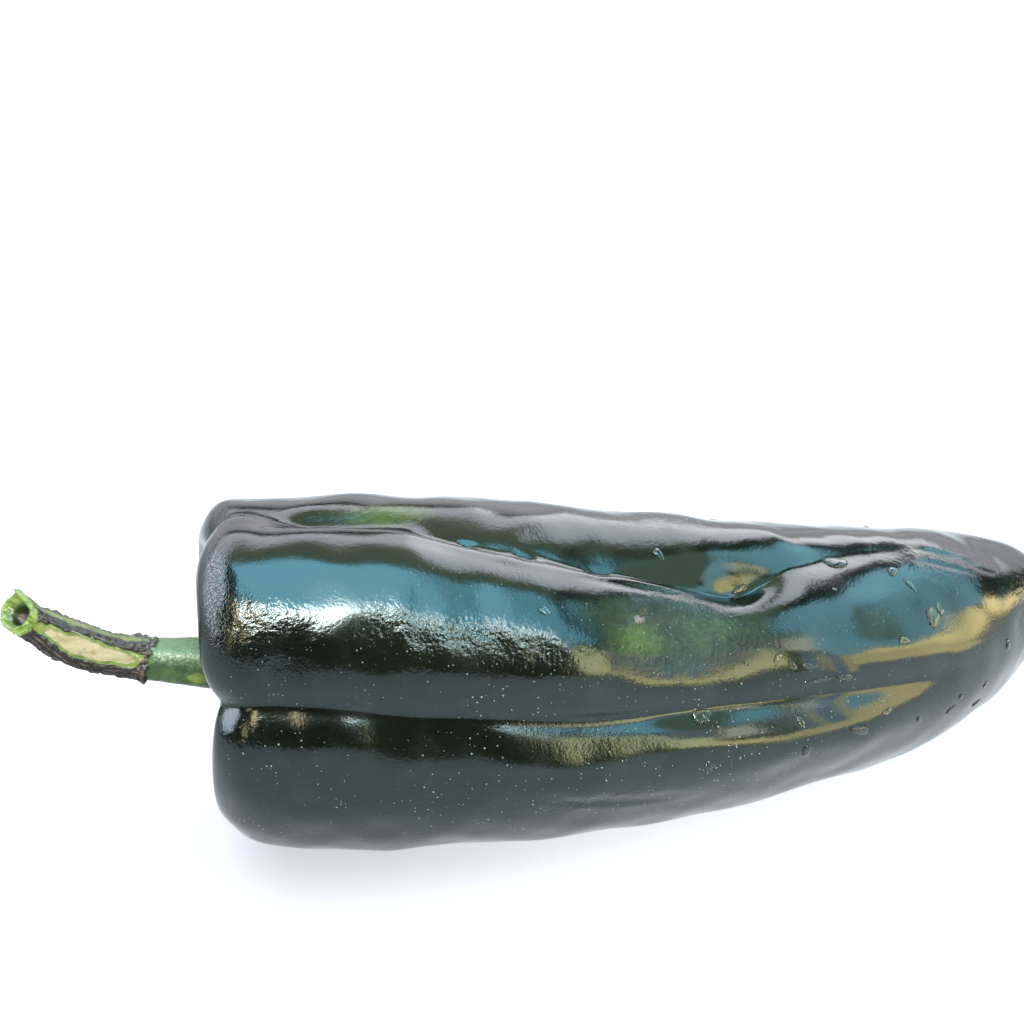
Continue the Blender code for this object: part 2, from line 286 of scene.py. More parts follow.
def closed_grid(name, rings, first, last, facts):
    """A closed skin over rows of rings (row, place round, xyz), with a pole point at each end.

    Each fact is one number a point, kept on the mesh for the finish to read.
    """
    rows, around = rings.shape[:2]
    points = np.concatenate([rings.reshape(-1, 3), [first, last]])
    ring = np.arange(rows * around).reshape(rows, around)
    after = np.roll(ring, -1, axis=1)
    quads = np.stack([ring[:-1], ring[1:], after[1:], after[:-1]], axis=-1).reshape(-1, 4)
    start = np.stack([np.full(around, rows * around), ring[0], after[0]], axis=-1)
    end = np.stack([np.full(around, rows * around + 1), after[-1], ring[-1]], axis=-1)
    mesh = bpy.data.meshes.new(name)
    mesh.from_pydata(points.tolist(), [], quads.tolist() + start.tolist() + end.tolist())
    for fact, value in facts.items():
        value = np.concatenate([value.ravel(), [value[0].mean(), value[-1].mean()]])
        mesh.attributes.new(fact, "FLOAT", "POINT").data.foreach_set("value", value.astype(np.float32))
    mesh.shade_smooth()
    piece = bpy.data.objects.new(name, mesh)
    bpy.context.scene.collection.objects.link(piece)
    return piece


def node(tree, kind, inputs=(), **settings):
    """Add one shader node; inputs gives each socket a number, a colour or another node's output."""
    made = tree.nodes.new("ShaderNode" + kind)
    for key, value in settings.items():
        setattr(made, key, value)
    for key, value in dict(inputs).items():
        if isinstance(value, bpy.types.NodeSocket):
            tree.links.new(value, made.inputs[key])
        else:
            made.inputs[key].default_value = value
    return made


def mixed(tree, share, first, second):
    """The first colour, turning into the second as share goes from 0 to 1."""
    return node(tree, "Mix", {0: share, 6: first, 7: second}, data_type="RGBA").outputs[2]


def worked(tree, step, first, second=0.0):
    """One step of arithmetic on two numbers."""
    return node(tree, "Math", {0: first, 1: second}, operation=step).outputs[0]


def plus(tree, first, second):
    """The sum of two numbers."""
    return worked(tree, "ADD", first, second)


def less(tree, first, second):
    """The first number less the second."""
    return worked(tree, "SUBTRACT", first, second)


def times(tree, first, second):
    """The product of two numbers."""
    return worked(tree, "MULTIPLY", first, second)


def larger(tree, first, second):
    """The larger of two numbers."""
    return worked(tree, "MAXIMUM", first, second)


def rising(tree, value, low, high):
    """0 below low, 1 above high, smooth between them."""
    return node(tree, "MapRange", {"Value": value, "From Min": low, "From Max": high},
                interpolation_type="SMOOTHSTEP").outputs[0]


def grain(tree, place, scale, detail=2.0, rough=0.5, stretch=None):
    """Noise of this many waves a metre, with the place stretched where one is given."""
    if stretch is not None:
        place = node(tree, "Mapping", {"Vector": place, "Scale": stretch}).outputs[0]
    noise = node(tree, "TexNoise", {"Vector": place, "Scale": scale, "Detail": detail, "Roughness": rough})
    return noise.outputs[0]


def noted(tree, fact):
    """One of the numbers kept on the mesh."""
    return node(tree, "Attribute", attribute_name=fact).outputs["Fac"]


BASIN_ROWS = 46
OUTSIDE_ROWS = 276
POD_ROUND = 300
# The rings' points lie closer together round this angle, by up to this share.
FINEST_SIDE = math.radians(40)
FINER = 0.35
basin_rows = np.linspace(-rim_length, 0, BASIN_ROWS)[1:-1]
outside_rows = np.linspace(0, pod_length[-1] - rim_length, OUTSIDE_ROWS)[:-1]
row_along = np.concatenate([basin_rows, outside_rows])
even_round = np.linspace(0, 2 * math.pi, POD_ROUND, endpoint=False)
round_angle = even_round - FINER * np.sin(even_round - FINEST_SIDE)
along, angle = np.meshgrid(row_along, round_angle, indexing="ij")
pole_along = np.array([-rim_length, pod_length[-1] - rim_length])
poles = pod_point(pole_along, np.zeros(2))
near_side = np.clip(1.4 * np.cos(angle - math.radians(-10)) - 0.25, 0.05, 1)
speckle = near_side * np.clip((0.125 - along) / 0.04, 0.25, 1)
pod_skin = closed_grid("pod_skin", pod_point(along, angle), poles[0], poles[1], {
    "green_and_reflection": patch(along, angle, GREEN_SKIN_AND_REFLECTION),
    "crinkled": patch(along, angle, CRINKLED),
    "netted": patch(along, angle, NETTED),
    "scarred": patch(along, angle, SCARRED),
    "dull": patch(along, angle, DULL),
    "basin": np.clip((-0.003 - along) / 0.012, 0, 1),
    "dusty": speckle * np.clip((along - 0.002) / 0.004, 0, 1),
    "blossom": bump(np.maximum(pod_length[-1] - rim_length - along, 0), 0.0022),
})

skin = bpy.data.materials.new("waxy_dark_green_skin")
skin.use_nodes = True
tree = skin.node_tree
shader = tree.nodes["Principled BSDF"]
place = node(tree, "TexCoord").outputs["Object"]
broad = rising(tree, grain(tree, place, 55, 3), 0.35, 0.65)
fine = grain(tree, place, 420, 3)
colour = mixed(tree, broad, (0.0040, 0.0062, 0.0042, 1), (0.0062, 0.0100, 0.0050, 1))
colour = mixed(tree, times(tree, fine, 0.35), colour, (0.0095, 0.0165, 0.0065, 1))
# Lighter green patches, in part the skin's own colour and in part a painted green reflection at the saddle
# and the lobe top.
ragged = times(tree, grain(tree, place, 260, 4, 0.65), 1.3)
threaded = times(tree, grain(tree, place, 900, 3, 0.7), 2.0)
green_and_reflection = times(tree, noted(tree, "green_and_reflection"), times(tree, ragged, threaded))
green_and_reflection = rising(tree, green_and_reflection, 0.10, 0.80)
colour = mixed(tree, green_and_reflection, colour, (0.064, 0.122, 0.012, 1))
bloom = rising(tree, grain(tree, place, 130, 5, 0.7), 0.48, 0.72)
bloom = times(tree, bloom, noted(tree, "dusty"))
colour = mixed(tree, times(tree, bloom, 0.22), colour, (0.045, 0.055, 0.056, 1))
colour = mixed(tree, times(tree, noted(tree, "basin"), 0.75), colour, (0.025, 0.065, 0.014, 1))
scar = times(tree, noted(tree, "scarred"), grain(tree, place, 2400, 4, 0.7))
scar = rising(tree, scar, 0.32, 0.46)
colour = mixed(tree, scar, colour, (0.300, 0.235, 0.215, 1))
blossom = rising(tree, noted(tree, "blossom"), 0.35, 0.75)
colour = mixed(tree, blossom, colour, (0.040, 0.030, 0.016, 1))
cell = node(tree, "TexVoronoi", {"Vector": place, "Scale": 1450.0})
speck_size = node(tree, "SeparateColor", {0: cell.outputs["Color"]}).outputs[0]
speck_reach = times(tree, less(tree, speck_size, 0.48), 0.42)
speck_clump = rising(tree, grain(tree, place, 75, 3, 0.6), 0.34, 0.58)
speck = worked(tree, "LESS_THAN", cell.outputs["Distance"], speck_reach)
speck = times(tree, speck, times(tree, speck_clump, noted(tree, "dusty")))
colour = mixed(tree, times(tree, speck, 0.7), colour, (0.50, 0.53, 0.53, 1))
tree.links.new(colour, shader.inputs["Base Color"])
rough = plus(tree, times(tree, grain(tree, place, 120, 3), 0.12), 0.085)
rough = plus(tree, rough, times(tree, noted(tree, "crinkled"), 0.03))
dull = times(tree, noted(tree, "dull"), times(tree, grain(tree, place, 200, 4, 0.7), 2.0))
dull = rising(tree, dull, 0.10, 0.95)
rough = plus(tree, rough, times(tree, dull, 0.22))
rough = plus(tree, rough, times(tree, noted(tree, "basin"), 0.15))
dry = larger(tree, speck, larger(tree, scar, blossom))
rough = plus(tree, rough, times(tree, dry, 0.45))
tree.links.new(rough, shader.inputs["Roughness"])
shader.inputs["IOR"].default_value = 1.5
shader.inputs["Specular Tint"].default_value = (0.74, 0.95, 1.0, 1)
peel = times(tree, grain(tree, place, 850, 3, 0.6), 0.20)
peel = plus(tree, peel, times(tree, grain(tree, place, 2300, 2), 0.15))
ridge = worked(tree, "ABSOLUTE", less(tree, grain(tree, place, 620, 3, 0.6), 0.5))
crackle = times(tree, grain(tree, place, 1500, 2, 0.5), 1.5)
crackle = less(tree, crackle, times(tree, ridge, 1.4))
crackle = times(tree, crackle, noted(tree, "crinkled"))
coarse = times(tree, times(tree, grain(tree, place, 700, 4, 0.65), 2.2), dull)
mesh_cell = node(tree, "TexVoronoi", {"Vector": place, "Scale": 1500.0}, feature="DISTANCE_TO_EDGE")
netting = rising(tree, mesh_cell.outputs["Distance"], 0.0, 0.12)
netting = times(tree, netting, times(tree, noted(tree, "netted"), 0.45))
height = plus(tree, plus(tree, peel, crackle), plus(tree, netting, coarse))
height = plus(tree, height, times(tree, plus(tree, speck, scar), 0.3))
relief = node(tree, "Bump", {"Strength": 1.0, "Distance": 0.00012, "Height": height}).outputs[0]
tree.links.new(relief, shader.inputs["Normal"])
pod_skin.data.materials.append(skin)
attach(pod_skin, "root")
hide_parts("pod")

# The stem: a woody stalk on a scalloped calyx, part of the same growth as the pod. It is fresh green, then
# brown corky bark, peeled to the wood in one oval, and ends in a hollow slanted cut with a torn lip.
# Outline: (place along its own middle line, radius), from the calyx's base over the cut into its hollow.
STEM_OUTLINE = [
    (0.0000, 0.0000), (0.0000, 0.0064), (0.0014, 0.0072), (0.0028, 0.0062), (0.0052, 0.0049),
    (0.0100, 0.0045), (0.0190, 0.0042), (0.0290, 0.0035), (0.0360, 0.0032), (0.0415, 0.0035),
    (0.0470, 0.0031), (0.0500, 0.0027), (0.0524, 0.0029), (0.0532, 0.0025), (0.0524, 0.0018),
    (0.0508, 0.0013), (0.0503, 0.0000),
]
STEM_RISE = [(0, 0), (0.003, 0), (0.010, 14), (0.024, 7), (0.034, 14), (0.044, 32), (0.056, 46)]
STEM_TURN = [(0, 0), (0.030, 0), (0.060, 6)]
STEM_GAP = 0.0003
STEM_RIBS = 5
# Shares of the radius, degrees, and the lip's height in metres.
RIB_HEIGHT = 0.035
SCALLOP_HEIGHT = 0.08
CUT_SLANT = 30
CUT_FACING = 165
LIP_ANGLE = 75
TORN_LIP = 0.0024
PATH_LENGTH = 0.066
PATH_POINTS = 300

stem_length, stem_place, stem_radius = outline(STEM_OUTLINE)
path_place = np.linspace(0, PATH_LENGTH, PATH_POINTS)
path_rise = np.radians(eased(path_place, STEM_RISE))
path_turn = np.radians(eased(path_place, STEM_TURN))
path = np.stack([np.cos(path_rise) * np.cos(path_turn), np.cos(path_rise) * np.sin(path_turn),
                 np.sin(path_rise)], axis=-1)
path = np.concatenate([[[0, 0, 0]], np.cumsum(path[:-1], axis=0) * path_place[1]])
foot_place = POD_OUTLINE[0][0] - STEM_GAP
foot = np.array([np.interp(foot_place, line_place, line_x), np.interp(foot_place, line_place, line_y),
                 eased(foot_place, POD_HEIGHT)])
foot_turn = math.pi + math.radians(eased(POD_OUTLINE[0][0], POD_HEADING))


def stem_point(length, angle, relief=0.0):
    """Point of the stem in the basin: length is metres over its outline from the base, angle is round it.

    point = foot + turned path(place) + radius * (cos(angle) * sideways + sin(angle) * up), square to it;
    the ribs and the bark's relief add to the radius, and the slanted cut and the torn lip move the place
    """
    place = np.interp(length, stem_length, stem_place)
    radius = np.interp(length, stem_length, stem_radius)
    calyx = bump(place - 0.0014, 0.0022) * np.clip((radius - 0.004) / 0.002, 0, 1)
    tube = np.clip((place - 0.005) / 0.004, 0, 1) * np.clip((radius - 0.0022) / 0.0008, 0, 1)
    ribs = np.cos(STEM_RIBS * angle)
    radius = radius * (1 + SCALLOP_HEIGHT * calyx * ribs + RIB_HEIGHT * tube * ribs)
    near_cut = np.clip((place - 0.044) / 0.006, 0, 1)
    lip = bump(turned(angle, math.radians(LIP_ANGLE)), 0.6) * bump(place - 0.0530, 0.0018)
    slant = radius * math.tan(math.radians(CUT_SLANT)) * np.cos(angle - math.radians(CUT_FACING))
    place = place + TORN_LIP * lip * np.clip((radius - 0.0015) / 0.0008, 0, 1) - near_cut * slant
    radius = radius + relief
    rise = np.interp(place, path_place, path_rise)
    turn = np.interp(place, path_place, path_turn)
    middle = np.stack([np.interp(place, path_place, path[:, k]) for k in range(3)], axis=-1)
    side = np.stack([np.sin(turn), -np.cos(turn), 0 * turn], axis=-1)
    up = np.stack([-np.sin(rise) * np.cos(turn), -np.sin(rise) * np.sin(turn), np.cos(rise)], axis=-1)
    point = middle + radius[..., None] * (np.cos(angle)[..., None] * side + np.sin(angle)[..., None] * up)
    c, s = math.cos(foot_turn), math.sin(foot_turn)
    return point @ np.array([[c, s, 0], [-s, c, 0], [0, 0, 1]]) + foot


def step_up(value, low, high):
    """0 below low, 1 above high, smooth between them."""
    s = np.clip((value - low) / (high - low), 0, 1)
    return s * s * (3 - 2 * s)


STEM_ROWS = 342
STEM_ROUND = 144
row_length = np.linspace(0, stem_length[-1], STEM_ROWS)[1:-1]
round_angle = np.linspace(0, 2 * math.pi, STEM_ROUND, endpoint=False)
length, angle = np.meshgrid(row_length, round_angle, indexing="ij")
# Where each kind of surface lies, from 0 to 1. Places up the stem and angles round it are shifted unevenly,
# so that no edge is straight.
up_stem = np.interp(length, stem_length, stem_place)
spot = np.stack([up_stem, 0.0035 * np.cos(angle), 0.0035 * np.sin(angle)], axis=-1)
outside = 1 - step_up(length, 0.0594, 0.0600)
shift = up_stem + 0.0006 * waves(spot, 0.004, 11) + 0.0003 * waves(spot, 0.0015, 12)
swing = angle + 0.06 * waves(spot, 0.007, 13) + 0.04 * waves(spot, 0.002, 14)
barked = step_up(shift, 0.0292, 0.0300) * outside
top_strip = bump(turned(swing, math.radians(88)), 0.30) * step_up(shift, 0.0290, 0.0310)
back_strip = bump(turned(swing, math.radians(-20)), 0.30)
oval = np.hypot((shift - 0.0408) / 0.0096, turned(swing, math.radians(158)) / 0.46)
peeled = 1 - step_up(oval, 0.82, 1.0)
lime = (1 - step_up(oval, 1.10, 1.32)) * (1 - peeled)
lime_spot = np.hypot((shift - 0.0215) / 0.0024, turned(swing, math.radians(-165)) / 0.28)
lime = np.maximum(lime, 1 - step_up(lime_spot, 0.6, 1.0))
collar = bump(shift - 0.0305, 0.0011) * outside * (1 - 0.8 * top_strip)
ring = step_up(length, 0.0592, 0.0597) * (1 - step_up(length, 0.0616, 0.0626))
barked = barked * (1 - peeled) * (1 - 0.9 * lime) * (1 - 0.85 * top_strip) * (1 - 0.7 * back_strip)
barked = barked * (1 - ring)
crumbs = np.abs(waves(spot, 0.0026, 15)) + 0.6 * np.abs(waves(spot, 0.0014, 16))
fibres = np.abs(np.sin(11 * angle + 3 * waves(spot, 0.012, 17)))
relief = barked * (0.00012 + 0.00022 * crumbs - 0.00016 * fibres) + collar * (0.00018 + 0.00018 * crumbs)
relief = relief - 0.00035 * peeled - 0.00012 * lime
relief = relief + (1 - barked) * outside * 0.00003 * waves(spot, 0.0022, 18)
torn = 0.00022 + 0.00016 * waves(spot, 0.0024, 19) + 0.00012 * np.abs(waves(spot, 0.0012, 20))
relief = relief + ring * torn
bare_radius = np.interp(length, stem_length, stem_radius)
relief = relief * np.clip(bare_radius / 0.0015, 0, 1) * np.clip(length / 0.004, 0, 1)
ends = stem_point(np.array([0, stem_length[-1]]), np.zeros(2))
stem_skin = closed_grid("stem_skin", stem_point(length, angle, relief), ends[0], ends[1], {
    "barked": barked,
    "peeled": peeled * outside,
    "lime": lime * outside,
    "collar": collar,
    "ring": ring,
    # Painted shade: the inside of the cut hollow is painted near black.
    "hollow_shade": step_up(length, 0.0620, 0.0640),
    # Painted highlight: the upper side of the fresh green part is painted paler blue-green.
    "high": step_up(np.sin(angle), -0.1, 0.95) * (1 - step_up(up_stem, 0.030, 0.032)),
    "strip": top_strip * outside,
    # Painted highlight: whitish sparkles in a line along the upper front of the fresh green part.
    "pale": bump(turned(swing, math.radians(140)), 0.32) * (1 - step_up(up_stem, 0.029, 0.031)),
    "fibres": fibres,
})

stalk = bpy.data.materials.new("stem_bark_and_wood")
stalk.use_nodes = True
tree = stalk.node_tree
shader = tree.nodes["Principled BSDF"]
place = node(tree, "TexCoord").outputs["Object"]
mottle = grain(tree, place, 420, 4, 0.6)
pits = grain(tree, place, 2600, 3, 0.6)
streaks = grain(tree, place, 700, 4, 0.6, (0.18, 1.0, 1.0))
green = mixed(tree, rising(tree, mottle, 0.35, 0.65), (0.028, 0.070, 0.011, 1), (0.070, 0.145, 0.033, 1))
# Painted highlight: paler blue-green on the upper side of the fresh green part.
green = mixed(tree, rising(tree, noted(tree, "high"), 0.1, 1.0), green, (0.190, 0.350, 0.150, 1))
# Painted highlight: whitish sparkles in a line along the upper front of the fresh green part.
sparkle_highlight = times(tree, rising(tree, pits, 0.50, 0.66), noted(tree, "pale"))
green = mixed(tree, times(tree, sparkle_highlight, 0.8), green, (0.58, 0.66, 0.48, 1))
bark = mixed(tree, rising(tree, streaks, 0.40, 0.62), (0.0022, 0.0019, 0.0014, 1), (0.016, 0.011, 0.006, 1))
threads = times(tree, rising(tree, noted(tree, "fibres"), 0.86, 1.0), rising(tree, mottle, 0.45, 0.60))
bark = mixed(tree, times(tree, threads, 0.7), bark, (0.22, 0.17, 0.11, 1))
bark = mixed(tree, rising(tree, pits, 0.64, 0.80), bark, (0.20, 0.17, 0.12, 1))
wood = mixed(tree, rising(tree, streaks, 0.40, 0.62), (0.60, 0.52, 0.29, 1), (0.42, 0.36, 0.16, 1))
wood = mixed(tree, rising(tree, mottle, 0.56, 0.74), wood, (0.34, 0.24, 0.08, 1))
rind = mixed(tree, rising(tree, mottle, 0.3, 0.7), (0.090, 0.170, 0.014, 1), (0.260, 0.350, 0.060, 1))
cork = mixed(tree, rising(tree, pits, 0.44, 0.68), (0.016, 0.011, 0.008, 1), (0.24, 0.19, 0.14, 1))
colour = mixed(tree, larger(tree, noted(tree, "lime"), noted(tree, "strip")), green, rind)
colour = mixed(tree, noted(tree, "peeled"), colour, wood)
colour = mixed(tree, rising(tree, noted(tree, "barked"), 0.25, 0.60), colour, bark)
colour = mixed(tree, rising(tree, noted(tree, "collar"), 0.35, 0.75), colour, cork)
torn_grain = rising(tree, grain(tree, place, 700, 3, 0.6), 0.40, 0.62)
rim = mixed(tree, torn_grain, (0.130, 0.230, 0.020, 1), (0.330, 0.480, 0.090, 1))
colour = mixed(tree, noted(tree, "ring"), colour, rim)
# Painted shade: the inside of the cut hollow is painted near black.
colour = mixed(tree, noted(tree, "hollow_shade"), colour, (0.014, 0.016, 0.006, 1))
tree.links.new(colour, shader.inputs["Base Color"])
rough = plus(tree, times(tree, pits, 0.25), 0.16)
dry = larger(tree, noted(tree, "barked"), noted(tree, "peeled"))
rough = plus(tree, rough, times(tree, dry, 0.22))
tree.links.new(rough, shader.inputs["Roughness"])
shader.inputs["IOR"].default_value = 1.45
grooves = times(tree, streaks, plus(tree, noted(tree, "barked"), 0.2))
height = plus(tree, times(tree, pits, 0.8), grooves)
relief_normal = node(tree, "Bump", {"Strength": 1.0, "Distance": 0.00016, "Height": height}).outputs[0]
tree.links.new(relief_normal, shader.inputs["Normal"])
stem_skin.data.materials.append(stalk)
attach(stem_skin, "root")
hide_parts("stem")

# Loose fibres of the peeled bark: thin pale threads, curled, with both ends still grown into the stem.
# Each is a fine tube along a curve that leaves the bark and comes back to it.
# Start, middle and end of each: place up the stem and degrees round it, and how high the middle stands.
FIBRES = [
    dict(start=(0.0449, 128), middle=(0.0430, 125), end=(0.0410, 130), high=0.0006),
    dict(start=(0.0425, 152), middle=(0.0414, 160), end=(0.0402, 172), high=0.0007),
    dict(start=(0.0406, 126), middle=(0.0401, 121), end=(0.0397, 130), high=0.0005),
]
FIBRE_RADIUS = 0.00005
FIBRE_ROOT = 0.0002
FIBRE_POINTS = 24
# So many of the outline's points lie on the outside of the stem, before its hollow.
OUTSIDE_POINTS = 640


def over_stem(place_up, degrees, lift):
    """Points lift metres over the stem's surface, at a place up the stem and an angle round it."""
    length = np.interp(place_up, stem_place[:OUTSIDE_POINTS], stem_length[:OUTSIDE_POINTS])
    return stem_point(length, np.radians(degrees), lift)


def tube(name, line, radius, around=8):
    """A round tube on a line, closed at its ends: line + radius * (cos(turn) * side + sin(turn) * up)."""
    ahead = np.gradient(line, axis=0)
    ahead /= np.linalg.norm(ahead, axis=1, keepdims=True)
    side = np.cross(ahead, [0.31, 0.47, 0.83])
    side /= np.linalg.norm(side, axis=1, keepdims=True)
    up = np.cross(ahead, side)
    turn = np.linspace(0, 2 * math.pi, around, endpoint=False)[None, :, None]
    spoke = np.cos(turn) * side[:, None] + np.sin(turn) * up[:, None]
    rings = line[:, None] + radius[:, None, None] * spoke
    return closed_grid(name, rings[:, ::-1], line[0], line[-1], {})


thread = bpy.data.materials.new("pale_bark_fibre")
thread.use_nodes = True
tree = thread.node_tree
place = node(tree, "TexCoord").outputs["Object"]
colour = mixed(tree, grain(tree, place, 900, 2), (0.75, 0.74, 0.66, 1), (0.52, 0.50, 0.40, 1))
tree.links.new(colour, tree.nodes["Principled BSDF"].inputs["Base Color"])
tree.nodes["Principled BSDF"].inputs["Roughness"].default_value = 0.6
for number, f in enumerate(FIBRES):
    s = np.linspace(0, 1, FIBRE_POINTS)
    place_up, degrees = (
        (1-s)**2 * f["start"][k] + 2*s*(1-s) * f["middle"][k] + s**2 * f["end"][k] for k in range(2))
    lift = 2 * f["high"] * s * (1 - s) * 2 - FIBRE_ROOT
    line = over_stem(place_up, degrees, lift)
    fibre = tube("fibre_%d" % (number + 1), line, FIBRE_RADIUS * (1 - 0.5 * np.abs(2*s - 1)))
    fibre.data.materials.append(thread)
    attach(fibre, "root")

# Water drops: rinse water left on the waxy skin, each a flat dome that clings to it. Most lie on the bulge
# towards the tip and by the upper furrow, and each is a closed shell whose base lies in the skin.
# Drop: place along the outside, degrees up from the near side, half length, half width, turn in degrees.
DROPS = [
    (0.0788, 6, 0.0017, 0.0009, 0), (0.0908, 27, 0.0009, 0.0005, 30), (0.0929, 23, 0.0009, 0.0006, -35),
    (0.0956, 22, 0.0012, 0.0006, -15), (0.1015, 15, 0.0015, 0.0006, -20), (0.0970, 15, 0.0024, 0.0004, 5),
    (0.0932, -1, 0.0005, 0.0009, 10), (0.1029, -8, 0.0022, 0.0006, -15), (0.1084, -3, 0.0010, 0.0005, 10),
    (0.0939, -13, 0.0009, 0.0012, 20), (0.1156, -13, 0.0005, 0.0009, 20), (0.1236, -15, 0.0015, 0.0005, 10),
    (0.1253, -9, 0.0005, 0.0007, 20), (0.1318, -23, 0.0013, 0.0006, 20), (0.1325, -10, 0.0008, 0.0005, 15),
    (0.1391, 8, 0.0008, 0.0009, 0), (0.1132, 27, 0.0010, 0.0007, 0), (0.1212, 35, 0.0018, 0.0014, 25),
    (0.1235, 38, 0.0008, 0.0010, -20), (0.1181, 62, 0.0012, 0.0008, 10), (0.1198, 53, 0.0006, 0.0014, 15),
    (0.1087, 72, 0.0027, 0.0012, -5), (0.0774, 79, 0.0008, 0.0010, 30), (0.0901, 66, 0.0012, 0.0007, 20),
    (0.0791, -12, 0.0010, 0.0004, 0), (0.0570, 48, 0.0009, 0.0007, 20), (0.0098, 105, 0.0005, 0.0004, 0),
    (0.0860, 26, 0.0004, 0.0004, 0), (0.1290, 45, 0.0004, 0.0004, 0), (0.1045, 55, 0.0004, 0.0003, 0),
    (0.0700, -8, 0.0005, 0.0004, 0), (0.1270, 112, 0.0008, 0.0006, 30),
    (0.0950, 120, 0.0010, 0.0008, 0), (0.0700, 150, 0.0008, 0.0007, 0), (0.1100, 160, 0.0011, 0.0008, 40),
    (0.0450, 170, 0.0009, 0.0007, 0), (0.0250, 130, 0.0007, 0.0006, 0), (0.0850, 195, 0.0012, 0.0008, 20),
]
# Height as a share of the mean half width, then how deep the base and the edge lie in the skin, in metres.
DROP_HEIGHT = 0.30
BASE_SUNK = 0.00010
EDGE_SUNK = 0.00002
DROP_ROWS = 8
DROP_ROUND = 20
# The pod's mean radius as a share of its outline's, because the furrows lessen it.
GIRTH_SHARE = 0.88
chance = np.random.default_rng(7)
row_out = np.linspace(0, 1, DROP_ROWS)[1:]
round_angle = np.linspace(0, 2 * math.pi, DROP_ROUND, endpoint=False)
step_out, step_round = np.meshgrid(row_out, round_angle, indexing="ij")
drop_points, drop_faces = [], []
for along_at, degrees, half_long, half_wide, turn in DROPS:
    lobes = 1 + 0.16 * np.cos(2 * step_round + chance.uniform(0, 6))
    lobes = lobes + 0.10 * np.cos(3 * step_round + chance.uniform(0, 6))
    u = half_long * step_out * lobes * np.cos(step_round)
    v = half_wide * step_out * lobes * np.sin(step_round)
    c, s = math.cos(math.radians(turn)), math.sin(math.radians(turn))
    flat = np.stack([c*u - s*v, s*u + c*v], axis=-1).reshape(-1, 2)
    flat = np.concatenate([flat, [[0, 0]]])
    girth = np.interp(along_at + rim_length, pod_length, pod_radius) * GIRTH_SHARE
    at_along, at_angle = along_at + flat[:, 0], math.radians(degrees) + flat[:, 1] / girth
    base = pod_point(at_along, at_angle)
    ahead = pod_point(at_along + 0.0002, at_angle, False) - pod_point(at_along - 0.0002, at_angle, False)
    round_it = pod_point(at_along, at_angle + 0.01, False) - pod_point(at_along, at_angle - 0.01, False)
    out = np.cross(ahead, round_it)
    out /= np.linalg.norm(out, axis=1, keepdims=True)
    high = DROP_HEIGHT * math.sqrt(half_long * half_wide)
    reach = np.concatenate([step_out.ravel(), [0]])
    dome = base + out * (high * np.sqrt(np.clip(1 - reach**2, 0, 1)) - EDGE_SUNK)[:, None]
    under = base - out * BASE_SUNK
    rows, around = step_out.shape
    first = sum(len(p) for p in drop_points)
    ring = np.arange(rows * around).reshape(rows, around)
    after = np.roll(ring, -1, axis=1)
    top = np.stack([ring[:-1], ring[1:], after[1:], after[:-1]], axis=-1).reshape(-1, 4)
    tip = np.stack([np.full(around, rows * around), ring[0], after[0]], axis=-1)
    count = rows * around + 1
    side = np.stack([ring[-1], ring[-1] + count, after[-1] + count, after[-1]], axis=-1)
    drop_points.append(np.concatenate([dome, under]))
    drop_faces += (top + first).tolist() + (tip + first).tolist() + (side + first).tolist()
    drop_faces += (top[:, ::-1] + first + count).tolist() + (tip[:, ::-1] + first + count).tolist()
drop_mesh = bpy.data.meshes.new("water_drops")
drop_mesh.from_pydata(np.concatenate(drop_points).tolist(), [], drop_faces)
drop_mesh.shade_smooth()
water_drops = bpy.data.objects.new("water_drops", drop_mesh)
bpy.context.scene.collection.objects.link(water_drops)
water = bpy.data.materials.new("clear_water")
water.use_nodes = True
shader = water.node_tree.nodes["Principled BSDF"]
shader.inputs["Base Color"].default_value = (0.96, 1.0, 0.97, 1)
shader.inputs["Roughness"].default_value = 0.0
shader.inputs["IOR"].default_value = 1.33
shader.inputs["Transmission Weight"].default_value = 1.0
drop_mesh.materials.append(water)
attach(water_drops, "root")

# The floor that the pepper lies on: a plain pale matt sheet, large enough to fill the picture. It is a flat
# face, not part of the pepper. It glows faintly, most near the pepper and towards the tip, to stay white.
FLOOR_HALF = 4
floor_mesh = bpy.data.meshes.new("floor")
corners = [(-FLOOR_HALF, -FLOOR_HALF, 0), (FLOOR_HALF, -FLOOR_HALF, 0), (FLOOR_HALF, FLOOR_HALF, 0),
           (-FLOOR_HALF, FLOOR_HALF, 0)]
floor_mesh.from_pydata(corners, [], [(0, 1, 2, 3)])
floor = bpy.data.objects.new("floor", floor_mesh)
bpy.context.scene.collection.objects.link(floor)
paper = bpy.data.materials.new("pale_floor")
paper.use_nodes = True
shader = paper.node_tree.nodes["Principled BSDF"]
shader.inputs["Base Color"].default_value = (0.88, 0.88, 0.90, 1)
shader.inputs["Roughness"].default_value = 0.9
shader.inputs["Specular IOR Level"].default_value = 0.1
shader.inputs["Emission Color"].default_value = (0.90, 0.96, 1.03, 1)
tree = paper.node_tree
place = node(tree, "TexCoord").outputs["Object"]
# The glow is 0.60 near the pepper and 0.24 from 0.30 m on, times 0.84 by the stem and 1.48 by the tip.
away = node(tree, "VectorMath", {0: place}, operation="LENGTH").outputs["Value"]
glow = less(tree, 0.60, times(tree, rising(tree, away, 0.06, 0.30), 0.36))
toward_tip = rising(tree, node(tree, "SeparateXYZ", {0: place}).outputs["X"], -0.06, 0.05)
glow = times(tree, glow, plus(tree, times(tree, toward_tip, 0.64), 0.84))
tree.links.new(glow, shader.inputs["Emission Strength"])
floor_mesh.materials.append(paper)

